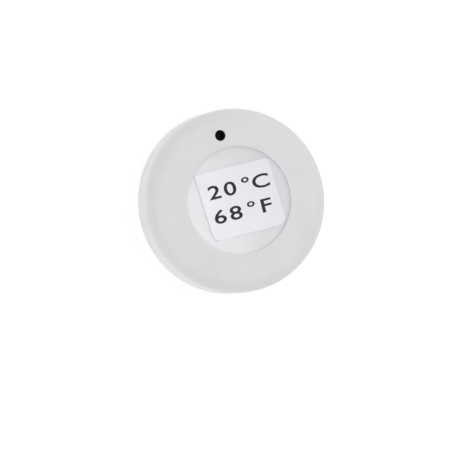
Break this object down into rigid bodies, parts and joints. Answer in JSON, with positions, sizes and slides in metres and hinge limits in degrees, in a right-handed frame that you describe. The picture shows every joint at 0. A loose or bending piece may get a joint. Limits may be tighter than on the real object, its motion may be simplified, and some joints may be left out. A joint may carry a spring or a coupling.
{
  "type": "wireless temperature sensor",
  "caption": "Round flat-backed wireless temperature sensor with a rounded face edge, a dished label recess and a small sensing port in the face.",
  "frame": {"origin": "centre of the flat back, on the surface that the device rests on", "axes": "+Z out of the face, along the puck's axis; +Y from the axis towards the sensing port"},
  "size_m": [0.033, 0.033, 0.0086],
  "materials": {
    "cover_plastic": "fine satin, moulded",
    "housing_plastic": "fine satin, moulded",
    "label_tape": "smooth laminated tape",
    "seal_rubber": "matt",
    "cell_steel": "bright",
    "clip_steel": "tinned",
    "contact_gilt": "gilt",
    "board_laminate": "solder mask",
    "chip_mould": "matt mould",
    "sensor_mould": "matt mould",
    "crystal_can": "nickel",
    "antenna_ceramic": "fired ceramic",
    "capacitor_ceramic": "fired ceramic",
    "resistor_film": "coated",
    "inductor_ferrite": "ferrite",
    "light_lens": "clear resin"
  },
  "bodies": {
    "root": {"front_cover": "cover_plastic", "rear_housing": "housing_plastic", "label": "label_tape", "port_seal": "seal_rubber", "coin_cell": "cell_steel", "battery_clip": "clip_steel", "negative_contact": "contact_gilt", "circuit_board": "board_laminate", "radio_chip": "chip_mould", "temperature_sensor": "sensor_mould", "radio_crystal": "crystal_can", "clock_crystal": "crystal_can", "chip_antenna": "antenna_ceramic", "reserve_capacitor": "capacitor_ceramic", "status_light": "light_lens", "capacitor_1": "capacitor_ceramic", "capacitor_2": "capacitor_ceramic", "capacitor_3": "capacitor_ceramic", "capacitor_4": "capacitor_ceramic", "capacitor_5": "capacitor_ceramic", "capacitor_6": "capacitor_ceramic", "capacitor_7": "capacitor_ceramic", "capacitor_8": "capacitor_ceramic", "resistor_1": "resistor_film", "resistor_2": "resistor_film", "resistor_3": "resistor_film", "inductor_1": "inductor_ferrite", "inductor_2": "inductor_ferrite", "inductor_3": "inductor_ferrite"}
  },
  "joints": []
}
